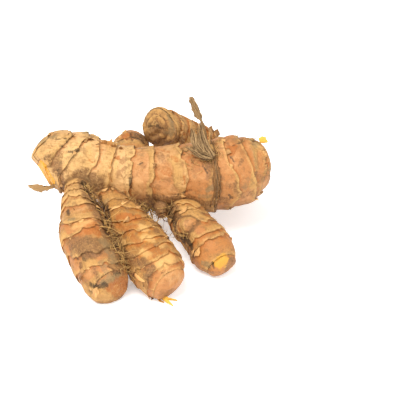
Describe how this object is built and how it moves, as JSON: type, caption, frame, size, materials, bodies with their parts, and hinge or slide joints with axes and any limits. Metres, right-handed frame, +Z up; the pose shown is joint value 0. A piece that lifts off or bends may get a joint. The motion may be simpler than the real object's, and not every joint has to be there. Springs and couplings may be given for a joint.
{
  "type": "turmeric root",
  "caption": "Fresh turmeric hand: a ringed mother rhizome with its side fingers and a dry leaf sheath, resting on its fingers.",
  "frame": {"origin": "on the surface the hand rests on, at the middle of its bounding box", "axes": "+Z up, +X along the mother rhizome to its blunt end, +Y towards the back fingers"},
  "size_m": [0.0906, 0.1094, 0.0576],
  "materials": {
    "skin": "fresh turmeric skin, tan papery scales over pink-orange skin, matte with a faint sheen",
    "dry_leaf": "dry fibrous leaf sheath, grey-brown, matte"
  },
  "bodies": {
    "root": {"rhizome": "skin", "leaf_sheath": "dry_leaf"}
  },
  "joints": []
}
